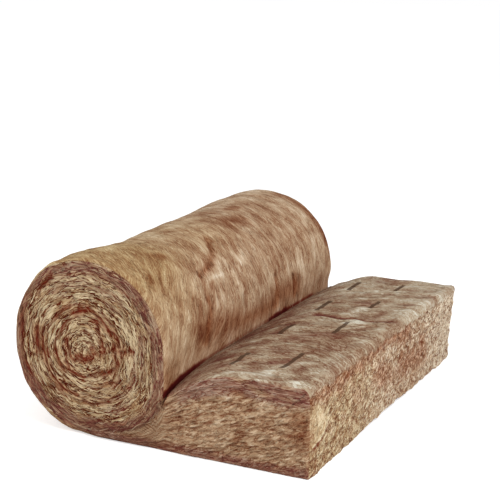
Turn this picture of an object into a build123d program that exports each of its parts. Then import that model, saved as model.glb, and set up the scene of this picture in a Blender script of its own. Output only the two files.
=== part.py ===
"""A partly unrolled roll of glass mineral wool insulation.

The roll is one blanket of wool. Its inner length is wound up, and its outer end lies flat on the floor.
Wound up, the wool is squeezed to a fraction of its loose thickness. Where the blanket leaves the roll
it springs back, so the top of the flat end rises in a soft shoulder from the nip to its full thickness.

Frame: millimetres, +Z up, origin on the floor under the middle of the bounding box.
+X runs along the flat end, away from the roll. +Y runs along the roll's axis, across the blanket.
"""

from build123d import *
import os

# Driving dimensions
blanket_width = 1200.0  # across the blanket, along the roll's axis
blanket_thickness = 265.0  # loose wool, over the level stretch
level_length = 225.5  # level stretch of the flat end, up to the cut
shoulder_run = 240.0  # from the roll's side to the level stretch
nip_drop = 105.0  # from the level stretch down to the nip
roll_radius = 280.0  # outermost turn, where it leaves the floor
turn_pitch = 34.0  # squeezed thickness of one turn
eye_radius = 20.0  # innermost turn, pinched shut around the eye
sag_radius = 170.0  # where the outer turn sags on to the flat end
groove_width = 13.0  # valley between two turns, at the roll's ends
groove_depth = 20.0  # the same valley, from the end inwards
edge_radius = 14.0  # soft edges all round

# Clearances of the construction
groove_overshoot = 1.0  # the valley's wedge starts this far outside the end
valley_inset = 12.0  # the valley starts this far below the nip, inside the wool
edge_margin = 1.0  # slack for picking edges by their place

# Derived places in the plane of the roll's ends, x along the flat end and z up
turn_step = turn_pitch / 4  # the winding's radius shrinks by this each quarter turn
side_radius = roll_radius - 3 * turn_step  # the winding's radius after three quarters
overall_length = roll_radius + side_radius + shoulder_run + level_length
axis_x = roll_radius - overall_length / 2  # the roll's axis
side_x = axis_x + side_radius  # the roll's side, over the flat end
side_z = roll_radius + turn_step
shoulder_x = side_x + shoulder_run
cut_x = shoulder_x + level_length
half_width = blanket_width / 2
sag = min(sag_radius, 0.9 * side_radius)  # a sag rounder than the winding isn't possible
tightest_turn = max(eye_radius, groove_width)  # the valley needs room to turn round the eye

end_plane = Plane.XZ  # its own y is the model's z


def winding(first_quarter):
    """Quarter turns from the given one inwards to the eye, clockwise as seen from the front.

    Quarter 0 leaves the floor under the axis and climbs the roll's back. Each quarter is one step
    tighter than the last, and the centres stand on a small square, so all the quarters join smoothly.
    """
    quarters = []
    count = first_quarter
    while roll_radius - count * turn_step > tightest_turn:
        centre_x = axis_x - (turn_step if count % 4 in (1, 2) else 0)
        centre_z = roll_radius + (turn_step if count % 4 in (2, 3) else 0)
        radius = roll_radius - count * turn_step
        quarters.append(CenterArc((centre_x, centre_z), radius, -90 - 90 * count, -90))
        count += 1
    return quarters


def sagging_side():
    """The outer turn from the roll's side down to the flat end, then in under the axis."""
    sag_x = side_x - sag
    sag_z = turn_pitch + sag
    return [
        Line((side_x, side_z), (side_x, sag_z)),
        CenterArc((sag_x, sag_z), sag, 0, -90),
        Line((sag_x, turn_pitch), (axis_x, turn_pitch)),
    ]


def roll_outline():
    """The roll seen from its end: the outermost turn, closed under the axis."""
    closing = Line((axis_x, turn_pitch), (axis_x, 0))
    return make_face(winding(0)[:3] + sagging_side() + [closing])


def flat_outline():
    """The flat end seen from the side. It starts under the axis, and its shoulder dips into the roll."""
    level_start = (shoulder_x, blanket_thickness)
    nip = (side_x - turn_pitch / 2, blanket_thickness - nip_drop)
    under_axis = (axis_x, blanket_thickness - nip_drop)
    return make_face(
        [
            Line((axis_x, 0), (cut_x, 0)),
            Line((cut_x, 0), (cut_x, blanket_thickness)),
            Line((cut_x, blanket_thickness), level_start),
            TangentArc(level_start, nip, tangent=(-1, 0)),
            Line(nip, under_axis),
            Line(under_axis, (axis_x, 0)),
        ]
    )


def across_blanket(outline):
    """An outline carried across the whole width of the blanket."""
    return extrude(end_plane * outline, amount=half_width, both=True)


def end_edges(body):
    """The edges of a body that lie on the two ends of the roll."""
    front = body.edges().filter_by_position(Axis.Y, -half_width, -half_width)
    back = body.edges().filter_by_position(Axis.Y, half_width, half_width)
    return front + back


def wound_roll():
    """The roll, with soft rims wherever its outer turn shows on the ends."""
    body = across_blanket(roll_outline())
    rims = [edge for edge in end_edges(body) if edge.bounding_box().max.Z > turn_pitch + edge_margin]
    return fillet(rims, edge_radius)


def flat_end():
    """The flat end of the blanket, with soft edges along its sides and round its cut."""
    body = across_blanket(flat_outline())
    sides = [edge for edge in end_edges(body) if edge.bounding_box().max.X > side_x + edge_margin]
    cut = body.edges().filter_by(Axis.Y).filter_by_position(Axis.X, cut_x - edge_margin, cut_x + edge_margin)
    return fillet(sides + list(cut), edge_radius)


def nip_line():
    """Where the sagging outer turn lies on the flat end, from the nip to under the axis."""
    flat = flat_outline()
    pieces = []
    for edge in sagging_side():
        pieces += (edge & flat).edges() if edge & flat else []
    return pieces


def wound_seam():
    """The line between the turns, seen from the end: from the nip, under the axis and round to the eye."""
    return Wire(nip_line() + winding(4))


def turn_valley():
    """The valley between the turns on the front end, from the nip to the eye: a wedge swept inwards."""
    seam = wound_seam()
    path = end_plane.offset(half_width) * seam.trim(valley_inset / seam.length, 1)
    half_mouth = groove_width / 2 * (1 + groove_overshoot / groove_depth)
    wedge = Polyline(
        (groove_depth, 0),
        (-groove_overshoot, half_mouth),
        (-groove_overshoot, -half_mouth),
        close=True,
    )
    section = Plane(path @ 0, x_dir=(0, 1, 0), z_dir=path % 0)
    return sweep(section * make_face(wedge), path=path)


def main():
    front_valley = turn_valley()
    back_valley = mirror(front_valley, about=Plane.XZ)
    blanket = wound_roll() + flat_end() - front_valley - back_valley
    blanket_length = wound_seam().length + cut_x - axis_x
    print(f"blanket length: {blanket_length / 1000:.2f} m")
    os.makedirs("parts", exist_ok=True)
    export_step(blanket, "parts/wool_blanket.step")


main()
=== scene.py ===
"""Looks of a partly unrolled roll of glass mineral wool, laid out as an add-on and run as a script.

The blanket is one soft skin with relief, and thousands of fibres lie on it.
Shape functions work in millimetres, and new_piece turns them into metres.
X runs along the flat end, away from the roll. Y runs along the roll's axis. Z is up from the floor.
"""

import functools
import math
from typing import NamedTuple

import bmesh
import bpy
import numpy as np
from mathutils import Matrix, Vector


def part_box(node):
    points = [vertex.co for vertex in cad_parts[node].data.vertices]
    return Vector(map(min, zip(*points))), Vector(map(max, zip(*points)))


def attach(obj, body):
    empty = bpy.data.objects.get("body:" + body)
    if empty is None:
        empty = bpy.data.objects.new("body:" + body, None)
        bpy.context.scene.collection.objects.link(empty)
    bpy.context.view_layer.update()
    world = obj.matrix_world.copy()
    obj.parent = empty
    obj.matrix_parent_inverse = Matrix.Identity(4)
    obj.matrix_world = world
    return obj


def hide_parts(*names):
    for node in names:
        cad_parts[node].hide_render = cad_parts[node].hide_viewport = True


bl_info = {
    "name": "Mineral Wool Roll",
    "version": (1, 0, 0),
    "blender": (4, 5, 0),
    "location": "View3D > Sidebar > Wool Roll",
    "description": "Builds the skin, the fibres and the stage of a partly unrolled mineral wool roll",
    "category": "Object",
}

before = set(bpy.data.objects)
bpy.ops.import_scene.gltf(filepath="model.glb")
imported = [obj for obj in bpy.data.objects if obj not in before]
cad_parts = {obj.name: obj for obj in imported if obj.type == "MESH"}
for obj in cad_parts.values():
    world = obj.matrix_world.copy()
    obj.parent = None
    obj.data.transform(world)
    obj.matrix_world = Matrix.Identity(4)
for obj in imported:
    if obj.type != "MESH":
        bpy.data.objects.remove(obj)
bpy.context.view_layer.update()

# The frame's own names, and its box in millimetres
NODE = "wool_blanket"
BODY = "root"
MM = 0.001
LOW, HIGH = (np.array(corner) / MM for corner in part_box(NODE))

# Samples round the outline. The lower and the upper half of the flat end have as many, so that they pair up.
HALF_CUT = 20
CORNER = 5
CORNER_TOP = 3
FLAT = 62
CLEFT = 5
SHOULDER = 33
LEVEL = FLAT - SHOULDER - CLEFT
NECK = 30
SAG = 14
SIDE = NECK - SAG
BACK_QUARTER = 48
FRONT_QUARTER = 62
SAG_STEPS = 40

# Rows from the near end's middle line, over its rim, across the width and into the far end
NEAR_END_ROWS = 80
ACROSS_ROWS = 128
FAR_END_ROWS = 26

# Degrees of the samples on rims and corners. Two lie close together, where the look goes over crisply.
RIM_LEANS = (20, 43, 47, 69)
CORNER_TURNS = (90, 68, 47, 43, 22)

# What a user would change


def length(name, description, default):
    """A length in metres that a user can set."""
    return bpy.props.FloatProperty(name=name, description=description, default=default, unit="LENGTH")


def tint(name, description, default):
    """A colour, as an sRGB hex code, that a user can set."""
    return bpy.props.StringProperty(name=name, description=description, default=default)


class WoolSizes(bpy.types.PropertyGroup):
    """Sizes of the blanket as it is seen."""

    roll_radius: length("Roll Radius", "Outermost turn, where it leaves the floor", 0.280)
    turn_pitch: length("Turn Pitch", "Squeezed thickness of one turn", 0.034)
    thickness: length("Thickness", "Loose thickness of the flat end", 0.268)
    sag_radius: length("Sag Radius", "Where the outer turn sags on to the flat end", 0.170)
    corner_radius: length("Corner Radius", "Soft corners of the cut", 0.024)
    rim_radius: length("Rim Radius", "Soft rims of the two ends", 0.015)
    nip_near: length("Near Nip", "Height of the nip at the near end", 0.171)
    nip_far: length("Far Nip", "Height of the nip at the far end", 0.217)
    nip_rise: length("Nip Rise", "How far behind the near end the nip has mostly risen", 0.130)
    shoulder_near: length("Near Shoulder", "Run of the shoulder at the near end", 0.235)
    shoulder_far: length("Far Shoulder", "Run of the shoulder at the far end", 0.180)
    cleft_depth: length("Cleft Depth", "How deep the nip closes under its lip", 0.030)
    cleft_mouth: length("Cleft Mouth", "Gap of the nip at its lip", 0.008)
    eye_x: length("Eye X", "The eye of the winding, along the blanket", -0.240)
    eye_z: length("Eye Height", "The eye of the winding, above the floor", 0.267)


class WoolColours(bpy.types.PropertyGroup):
    """Colours of the wool."""

    pale: tint("Pale", "Loosest, palest tufts", "#e4d5c0")
    light: tint("Light", "Tufts in the light", "#cdb69c")
    middle: tint("Middle", "Most of the wool", "#b09275")
    shade: tint("Shade", "Wool between the tufts", "#875d43")
    # The darkest stop is also reached by the painted shade of the top's fold
    dark: tint("Dark", "Resin-soaked wool", "#5a200f")
    gold: tint("Gold Tint", "Tint of golden wool", "#f0ebd1")
    # Multiplies the top's colour, making it cooler and greyer
    dust: tint("Top Tint", "Tint of the greyer top", "#eef9ff")
    # Band: the purple-brown facing, and also the painted shade of the top's troughs and fold
    band: tint("Band", "Purple-brown facing", "#7c4c46")
    # Stain tint: red-brown resin, and also painted shade beside the nip
    stain: tint("Stain and Shade Tint", "Tint of red-brown resin", "#d8b09a")
    # Crevice: dark red-brown resin, with painted shade in the ends' crevices and gaps, the flank's hollows,
    # the cut's pits and the nip
    crevice: tint("Crevice", "Deep crevices", "#6e2212")
    # Deep: painted shade at the bottom of the nip, in dark red-brown
    deep: tint("Deep", "Bottom of the nip", "#460b0c")
    ink: tint("Ink", "Printed dashes", "#4c3526")


# The sizes in millimetres, called b in the shape functions
Blanket = NamedTuple("Blanket", [(name, float) for name in WoolSizes.__annotations__])


class Grid(NamedTuple):
    """The skin before its relief, as rows and columns.

    Its places, the way that each point faces, the sine of its lean, its length along the outline, its depth
    inside the rim of an end, its share across from -1 to 1 and its share of the far outline.
    """

    x: np.ndarray
    y: np.ndarray
    z: np.ndarray
    facing: np.ndarray
    rise: np.ndarray
    along: np.ndarray
    inset: np.ndarray
    share: np.ndarray
    blend: np.ndarray


class Surface(NamedTuple):
    """The skin with its relief, as rows and columns.

    Masks run from 0 to 1. The grain is a place along and across the fibres, in millimetres. The comb is the
    direction that the fibres lie in.
    """

    points: np.ndarray
    normals: np.ndarray
    masks: dict
    grain: np.ndarray
    comb: np.ndarray


class Fibres(NamedTuple):
    """One group of fibres. Length, width and lift are ranges in millimetres.

    A real fibre is too fine to show, so each of these is as thick as it needs to show, like a strand of many.
    Lift raises one tip off the skin, and stray is how far fibres turn off the comb, in radians.
    """

    name: str
    seed: int
    count: int
    length: tuple
    width: tuple
    stray: float
    lift: tuple


# Number helpers

# Noise: corners of the lattice before it repeats, the place on axes that aren't given, and the gain
LATTICE = 256
STILL_PLACE = 0.37
NOISE_GAIN = 1.6


def smooth(value, start, end):
    """Soft step from 0 at start to 1 at end: 3t^2 - 2t^3, where t is the share of the way."""
    share = np.clip((value - start) / (end - start), 0, 1)
    return share * share * (3 - 2 * share)


def window(value, low, up, down, high):
    """Soft window: rises from 0 at low to 1 at up, and falls from 1 at down to 0 at high."""
    return smooth(value, low, up) * smooth(value, high, down)


def bell(value, middle, width):
    """Bell curve of height 1: exp(-((value - middle) / width)^2)."""
    return np.exp(-(((value - middle) / width) ** 2))


def through(value, knots):
    """Straight lines through knots of a place and a value."""
    return np.interp(value, *zip(*knots))


def vectors(*parts):
    """Parts spread to one shape and put side by side on a new last axis."""
    return np.stack(np.broadcast_arrays(*parts), -1)


def unit(arrows):
    """Vectors divided by their lengths."""
    return arrows / np.maximum(np.linalg.norm(arrows, axis=-1, keepdims=True), 1e-9)


def dot(first, second):
    """Dot products of the vectors of two lists, pair by pair."""
    return np.einsum("ij,ij->i", first, second)


def noise(seed, *coordinates):
    """Smooth random field from about -1 to 1 over up to three coordinates.

    Each corner of a unit lattice holds a random gradient. A point adds up the dot products of its offsets
    from the eight corners with their gradients, weighted by 6t^5 - 15t^4 + 10t^3 along each axis.
    """
    shape = np.broadcast(*coordinates).shape
    axes = [np.broadcast_to(c, shape).ravel() for c in coordinates]
    axes += [np.full(axes[0].size, STILL_PLACE)] * (3 - len(axes))
    points = vectors(*axes)
    generator = np.random.default_rng(seed)
    order = generator.permutation(LATTICE)
    gradients = unit(generator.normal(size=(LATTICE, 3)))
    cell = np.floor(points).astype(int)
    inside = points - cell
    fade = inside**3 * (inside * (inside * 6 - 15) + 10)
    total = np.zeros(len(points))
    for corner in np.ndindex(2, 2, 2):
        first, second, third = ((cell + corner) % LATTICE).T
        pick = order[(order[(order[first] + second) % LATTICE] + third) % LATTICE]
        total += dot(gradients[pick], inside - corner) * np.prod(np.where(corner, fade, 1 - fade), axis=1)
    return (NOISE_GAIN * total).reshape(shape)


def strokes(across, up, lines):
    """Strength from 0 to 1 of drawn lines: the largest bell of the distance to any stretch of any line.

    Each line is its half width, then the points that it runs through.
    """
    total = np.zeros(across.shape)
    for width, *knots in lines:
        for (start_a, start_u), (end_a, end_u) in zip(knots, knots[1:]):
            step_a, step_u = end_a - start_a, end_u - start_u
            share = ((across - start_a) * step_a + (up - start_u) * step_u) / (step_a**2 + step_u**2)
            share = np.clip(share, 0, 1)
            away = np.hypot(across - start_a - share * step_a, up - start_u - share * step_u)
            total = np.maximum(total, bell(away, 0, width))
    return total


def loosened(seed, across, up, push, size):
    """Two coordinates, moved up to a push by noise of a size, so that drawn lines wander."""
    moves = [push * noise(seed + place, across / size, up / size) for place in range(2)]
    return across + moves[0], up + moves[1]


# The blanket's outline


def run(start, end, count):
    """Even steps from start to end, numbers or points, without the last one."""
    return np.linspace(start, end, count, endpoint=False)


def arc(centre, radius, angles):
    """Points of a circular arc at angles in degrees."""
    angle = np.radians(angles)
    return vectors(centre[0] + radius * np.cos(angle), centre[1] + radius * np.sin(angle))


def roll_stretches(b, cleft_height):
    """The roll's turns as seen from the near end, clockwise from the floor to the bottom of the cleft.

    Three quarter arcs, each tighter by a quarter of the pitch, a straight side and the sag under it.
    """
    step = b.turn_pitch / 4
    axis = LOW[0] + b.roll_radius
    side_x = axis + b.roll_radius - 3 * step
    sag = (side_x - b.sag_radius, b.turn_pitch + b.sag_radius)
    sag_end = -math.degrees(math.asin((sag[1] - cleft_height) / b.sag_radius))
    middle_z = b.roll_radius + step
    return [
        arc((axis, b.roll_radius), b.roll_radius, run(-90, -180, BACK_QUARTER)),
        arc((axis - step, b.roll_radius), b.roll_radius - step, run(180, 90, BACK_QUARTER)),
        arc((axis - step, middle_z), b.roll_radius - 2 * step, run(90, 0, FRONT_QUARTER)),
        run((side_x, middle_z), (side_x, sag[1]), SIDE),
        arc(sag, b.sag_radius, run(0, sag_end, SAG)),
    ]


def sag_side(b, height):
    """The x of the sagging side at a height below its start: the right side of the sag's circle."""
    side_x = LOW[0] + 2 * b.roll_radius - 3 * b.turn_pitch / 4
    drop = np.clip(b.turn_pitch + b.sag_radius - height, 0, b.sag_radius)
    return side_x - b.sag_radius + np.sqrt(b.sag_radius**2 - drop**2)


def shoulder_points(b, nip, reach):
    """The shoulder from the lip of the nip to the level top: height = nip + rise * sin(a quarter turn)."""
    share = run(0, 1, SHOULDER)
    lip = sag_side(b, nip) + b.cleft_mouth
    return vectors(lip + share * reach, nip + (b.thickness - nip) * np.sin(share * math.pi / 2))


# The cleft's bottom stays this far below the start of the sag
CLEFT_DROP = 4


def end_outline(b, nip, reach):
    """Outline of the blanket's end, clockwise from the middle of the cut.

    Down the cut, along the floor, up the roll's back and over its crown, down its side into the cleft of
    the nip, out over the shoulder, along the level top and down the cut again.
    """
    cut = HIGH[0]
    corner, foot = b.corner_radius, b.corner_radius / 3
    bottom = min(nip - b.cleft_depth, b.turn_pitch + b.sag_radius - CLEFT_DROP)
    cleft = (sag_side(b, bottom), bottom)
    neck = (cleft[0] - b.cleft_depth / 2, 0)
    shoulder = shoulder_points(b, nip, reach)
    return np.concatenate(
        [
            run((cut, b.thickness / 2), (cut, foot), HALF_CUT),
            arc((cut - foot, foot), foot, run(0, -90, CORNER)),
            run((cut - foot, 0), neck, FLAT),
            run(neck, (LOW[0] + b.roll_radius, 0), NECK),
            *roll_stretches(b, cleft[1]),
            run(cleft, shoulder[0], CLEFT),
            shoulder,
            run((shoulder[0, 0] + reach, b.thickness), (cut - corner, b.thickness), LEVEL),
            arc((cut - corner, b.thickness - corner), corner, CORNER_TURNS),
            run((cut, b.thickness - corner), (cut, b.thickness / 2), HALF_CUT),
        ]
    )


def outward(outline):
    """Unit normals of a closed clockwise outline: the chord between neighbours, turned a quarter left."""
    chord = np.roll(outline, -1, axis=0) - np.roll(outline, 1, axis=0)
    return unit(vectors(-chord[:, 1], chord[:, 0]))


def middle_line(b, count):
    """Where each outline point ends up in the middle of an end.

    The line runs from the eye to the neck under the nip, then along the flat end's half height.
    Points as far from the cut's middle on the lower and on the upper side share a place on it.
    """
    order = np.arange(count)
    rank = np.minimum(order, count - order)
    fan = HALF_CUT + CORNER
    marks = [0, fan, fan + FLAT, fan + FLAT + NECK, count]
    neck = sag_side(b, b.nip_near - b.cleft_depth) - b.cleft_depth / 2
    inner = HIGH[0] - b.thickness / 2
    x = np.interp(rank, marks, [inner, inner, neck, b.eye_x, b.eye_x])
    z = np.interp(rank, marks, [b.thickness / 2, b.thickness / 2, b.nip_near / 2, b.eye_z, b.eye_z])
    return vectors(x, z)


# Samples of the outline's ten stretches: lower cut, floor, neck, back, crown, side, cleft, shoulder, level
# top and upper cut
STRETCHES = [HALF_CUT + CORNER, FLAT, NECK, 2 * BACK_QUARTER, FRONT_QUARTER, SIDE + SAG, CLEFT, SHOULDER]
STRETCHES += [LEVEL + CORNER_TOP, CORNER - CORNER_TOP + HALF_CUT]
CROWN = sum(STRETCHES[:4]) + FRONT_QUARTER // 2


def stretch_mask(*shares):
    """Mask along the outline from one value for each of its stretches."""
    return np.repeat(np.array(shares, float), STRETCHES)


def soften(mask):
    """A mask along the outline, averaged over five samples."""
    return sum(np.roll(mask, shift) for shift in range(-2, 3)) / 5


# Patterns of the wool: noise lengths and relief weights are in millimetres, the other weights are shares


def winding_depth(b, x, z):
    """Depth below the roll's outside, with the share of a turn and the radius about the eye.

    The share runs clockwise from under the axis. The outside is read off the roll's stretches, and the depth
    is (1 - radius / outside) * mean, where the outside is let out by the pitch times the share. So the line
    between two turns lies at a whole number of pitches plus the share of a pitch.
    """
    stretches = np.concatenate(roll_stretches(b, b.turn_pitch + 0.01))
    axis = LOW[0] + b.roll_radius
    outside = np.concatenate((stretches, [(axis, b.turn_pitch)]))
    start = math.atan2(b.eye_x - axis, b.eye_z)
    share = np.mod(np.arctan2(b.eye_x - x, b.eye_z - z) - start, 2 * math.pi) / (2 * math.pi)
    radius = np.hypot(x - b.eye_x, z - b.eye_z)
    place = np.arctan2(b.eye_x - outside[:, 0], b.eye_z - outside[:, 1]) - start
    place = np.unwrap(place) / (2 * math.pi)
    reach = np.hypot(outside[:, 0] - b.eye_x, outside[:, 1] - b.eye_z) + b.turn_pitch * place
    rim = np.interp(share, place, reach)
    depth = (1 - radius / rim) * reach.mean()
    return depth, share, radius


def flat_top(b, x):
    """Height of the flat end's top at x: the roll's sag up to the nip, then the shoulder and the level."""
    height = np.linspace(b.turn_pitch, b.nip_near, SAG_STEPS)
    shoulder = shoulder_points(b, b.nip_near, b.shoulder_near)
    knots_x = np.concatenate((sag_side(b, height), shoulder[:, 0], [HIGH[0]]))
    knots_z = np.concatenate((height, shoulder[:, 1], [b.thickness]))
    return np.interp(x, knots_x, knots_z)


# Marks of the near end, as half width and places along the blanket and up: deep crevices, and pale tufts
NEAR_CREVICES = (
    (8, (-413, 322), (-415, 285), (-409, 245)),
    (6, (-391, 318), (-393, 270), (-388, 235)),
    (4, (-432, 235), (-400, 233)),
    (5, (-388, 235), (-380, 205), (-366, 182), (-348, 162), (-333, 143), (-305, 131), (-268, 121)),
    (8, (-340, 148), (-328, 138)),
    (6, (-344, 262), (-336, 226), (-318, 206)),
    (5, (-305, 300), (-300, 275), (-297, 250), (-283, 233)),
    (5, (-312, 228), (-292, 198), (-250, 184), (-205, 198)),
    (5, (-342, 362), (-318, 388), (-290, 404)),
    (7, (-285, 380), (-250, 396), (-215, 405), (-203, 394)),
    (6, (-203, 394), (-180, 374), (-152, 346), (-126, 330), (-115, 300)),
    (6, (-198, 372), (-190, 340), (-180, 310), (-175, 288), (-186, 264)),
    (7, (-135, 306), (-130, 270), (-124, 250), (-136, 224), (-162, 214), (-192, 205)),
    (8, (-112, 284), (-74, 293)),
    (9, (-264, 250), (-250, 241), (-230, 248), (-206, 265)),
    (5, (-192, 168), (-152, 185), (-120, 190)),
    (5, (-252, 115), (-220, 105), (-190, 111), (-160, 121)),
    (4, (-465, 380), (-470, 320), (-468, 260), (-458, 205), (-440, 165)),
    (4, (-352, 492), (-392, 450), (-400, 425)),
)
NEAR_TUFTS = (
    (10, (-250, 168), (-186, 185)),
    (11, (-268, 80), (-210, 90), (-152, 104)),
    (9, (-216, 336), (-190, 320)),
    (11, (-425, 205), (-412, 180), (-392, 155)),
    (13, (-70, 340), (-60, 290), (-72, 240)),
)

# Radii about the eye, outer and inner: the core with the deepest crevices, and the pinched eye
CORE = (205, 135)
EYE = (90, 30)

# The purple-brown hem, by the share of a turn: its middle and its half width, in pitches below the outside
HEM_MIDDLES = ((0, 1.2), (0.14, 0.75), (0.3, 0.5), (0.9, 0.5), (1, 0.3))
HEM_HALVES = ((0, 1), (0.25, 0.8), (0.38, 0.55), (0.5, 0.5), (0.62, 1), (0.8, 0.9), (1, 0.9))


def turn_pattern(b, x, z, inset, seed, crevices, tufts):
    """Relief and masks of the wound turns on an end.

    Crevices run along the winding's line, bent by noise, and break off in places. Strands are noise drawn out
    round the eye, with thin gaps where it is zero.
    """
    depth, share, radius = winding_depth(b, x, z)
    dx, dz = x - b.eye_x, z - b.eye_z
    core, eye = smooth(radius, *CORE), smooth(radius, *EYE)
    bent = 9 * noise(seed, x / 62, z / 62) + (5 + 7 * eye) * noise(seed + 1, x / 23, z / 23)
    warp = depth + smooth(depth, 6, 45) * bent
    phase = warp / b.turn_pitch - share
    off = np.abs(phase - np.round(phase)) * b.turn_pitch
    patchy = smooth(noise(seed + 2, dx / 60, dz / 60, warp / 30), -0.25, 0.3)
    wound = bell(off, 0, 5) * patchy * (0.35 + 0.65 * core) * smooth(depth, 18, 30)
    strand = noise(seed + 3, dx / 46, dz / 46, warp / 8.5)
    patch = smooth(noise(seed + 4, dx / 40, dz / 40, warp / 40), -0.2, 0.35)
    gap = bell(strand, 0, 0.12) * patch * (0.25 + 0.6 * core)
    below = smooth(-dz / np.maximum(radius, 1), 0, 0.7)
    # The eye's crescent slit: painted shade in a shallow dent
    crescent = 0.8 * bell(radius, 27, 7) * below
    loose = loosened(seed + 15, x, z, 5, 26)
    drawn = strokes(*loose, crevices) * (0.75 + 0.25 * smooth(strand, -0.4, 0.3))
    soaked = strokes(*loose, [(2.2 * width, *knots) for width, *knots in crevices])
    tuft = strokes(*loose, tufts)
    # The crevices, the gaps between strands and the crescent are darkened in paint: painted shade on
    # red-brown resin
    crevice = np.clip(np.maximum.reduce([0.75 * wound, gap, crescent, drawn]), 0, 1) * (1 - 0.8 * tuft)
    lump = noise(seed + 5, x / 105, z / 105)
    to_hem = depth / b.turn_pitch - share - through(share, HEM_MIDDLES)
    to_hem += 0.2 * noise(seed + 17, dx / 50, dz / 50)
    hem = smooth(np.abs(to_hem) / through(share, HEM_HALVES), 0.85, 0.45)
    worn = smooth(noise(seed + 6, dx / 60, dz / 60, warp / 10), -0.5, 0.2)
    seam = bell(off, 6, 7) * smooth(radius, 150, 180) * smooth(noise(seed + 7, dx / 80, dz / 80), 0, 0.35)
    spread = 0.95 + 2.6 * eye
    return {
        "relief": 7 * np.minimum(np.abs(strand), 0.6) + 4 * lump - 6 * crevice - 5 * bell(radius, 0, 16) - 2,
        "crevice": crevice * smooth(inset, 2, 14),
        "band": np.clip(hem * (0.6 + 0.4 * worn) + 0.6 * seam, 0, 1),
        "lift": 0.5 * strand + (0.5 * lump - 0.45 * below) * (1 - core) + 1.5 * tuft - 0.5 * hem + 0.2 * core,
        "stain": 0.6 * soaked * (1 - tuft),
        "comb": vectors(dz, 0, -dx) / np.maximum(radius, 1)[..., None],
        "grain": vectors(spread * dx, spread * dz, 0.76 * warp),
    }


# Marks of the flank, the flat end's side, as half width and places along the blanket and up
FLANK_BROWN = ((24, (452, 178), (484, 168)), (22, (460, 128), (496, 124)), (12, (262, 224), (284, 230)))
FLANK_PALE = ((13, (158, 214), (236, 208)), (9, (330, 214), (372, 205)), (8, (205, 128), (232, 138)))

# Slant of the flank's tufts and of the fibres on them, in radians
TUFT_SLANT = 0.4
FIBRE_SLANT = 0.42


def flank_pattern(b, x, z, seed):
    """Relief and masks of the flat end's side: layers along its top and floor, with slanted tufts between."""
    top = flat_top(b, x)
    level = np.clip(z / top, 0, 1)
    edge = level + 0.08 * noise(seed + 18, x / 40, z / 25)
    body = window(edge, 0.03, 0.10, 0.78, 0.88) * smooth(x, 40, 90)
    slant_x = x * math.cos(TUFT_SLANT) + z * math.sin(TUFT_SLANT)
    slant_z = z * math.cos(TUFT_SLANT) - x * math.sin(TUFT_SLANT)
    slack = 10 * noise(seed + 8, x / 60, z / 45)
    tuft = noise(seed + 9, slant_x / 30, (slant_z + slack) / 8)
    sheet = noise(seed + 10, x / 70, (level * b.thickness + slack) / 10)
    mix = body * tuft + (1 - 0.6 * body) * sheet
    ragged = 14 * noise(seed + 12, x / 60, z / 60)
    under_top = smooth((1 - level) * top + ragged, 72 + 14 * smooth(x, 330, 480), 42) * smooth(x, 45, 110)
    band = np.maximum(under_top, smooth(z + 0.6 * ragged, 40, 22))
    band *= smooth(noise(seed + 13, x / 75, z / 22), -0.75, 0)
    brown, pale = strokes(x, z, FLANK_BROWN), strokes(x, z, FLANK_PALE)
    slope = (flat_top(b, x + 5) - flat_top(b, x - 5)) / 10
    tilt = np.arctan(slope * level * (1 - body) + math.tan(FIBRE_SLANT) * body)
    return {
        "relief": 4.5 * mix + 4 * noise(seed + 11, x / 110, z / 80) + 5 * bell(level, 0.42, 0.3),
        # Painted shade between the tufts
        "crevice": 0.3 * smooth(-mix, 0.3, 0.9),
        "band": band,
        "lift": mix + 0.5 * noise(seed + 14, x / 70, z / 50) + 0.9 * pale - 0.3 * brown + 0.25 * band,
        "stain": 0.4 * brown + 0.3 * smooth(z, 45, 20),
        "comb": vectors(np.cos(tilt), 0, np.sin(tilt)),
        "grain": vectors(x, 0, 0.8 * level * b.thickness),
        "grit": 0.95 * body,
    }


def mixed(faces, name, still):
    """Sum of a named field over the faces that have it, each times its mask, starting from a still value."""
    total = still
    for mask, fields in faces:
        if name in fields:
            share = mask if fields[name].ndim == 2 else mask[..., None]
            total = total + fields[name] * share
    return total


def end_pattern(b, x, z, inset, seed, crevices=(), tufts=()):
    """Relief and masks of an end: wound turns in the roll, and the flank outside the winding's last line."""
    depth, share, _ = winding_depth(b, x, z)
    flank = smooth(depth / b.turn_pitch - share, 0.06, -0.06) * smooth(share, 0.66, 0.72)
    flat = flank_pattern(b, x, z, seed)
    faces = ((1 - flank, turn_pattern(b, x, z, inset, seed, crevices, tufts)), (flank, flat))
    return {"flank": flank, **{name: mixed(faces, name, 0) for name in flat}}


# Marks of the roll's side, as half width and places across the blanket and degrees up from level
SIDE_CREASES = (
    (14, (-78, 62), (-110, 52), (-170, 44), (-230, 40.5), (-270, 39)),
    (15, (-284, 22), (-288, 16), (-310, 11), (-336, 4), (-345, -4)),
    (12, (168, 15), (158, 5), (150, -6)),
    (10, (298, 8), (290, -6)),
)
SIDE_BROWN = (
    (30, (110, 70), (200, 67)),
    (20, (240, 84), (290, 81)),
    (42, (-370, 3), (-130, -1)),
    (30, (-130, -4), (140, -5)),
    (36, (150, 1), (300, -2)),
    (9, (-522, 48), (-508, 53)),
    (16, (-400, 66), (-365, 62)),
    (22, (560, 75), (585, 20)),
)
SIDE_PALE = (
    (6, (-380, 58), (-430, 50), (-472, 42)),
    (6, (-465, 38), (-480, 30), (-482, 22)),
    (8, (-228, 34), (-150, 33)),
    (9, (-30, 44), (-20, 34)),
)


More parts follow.
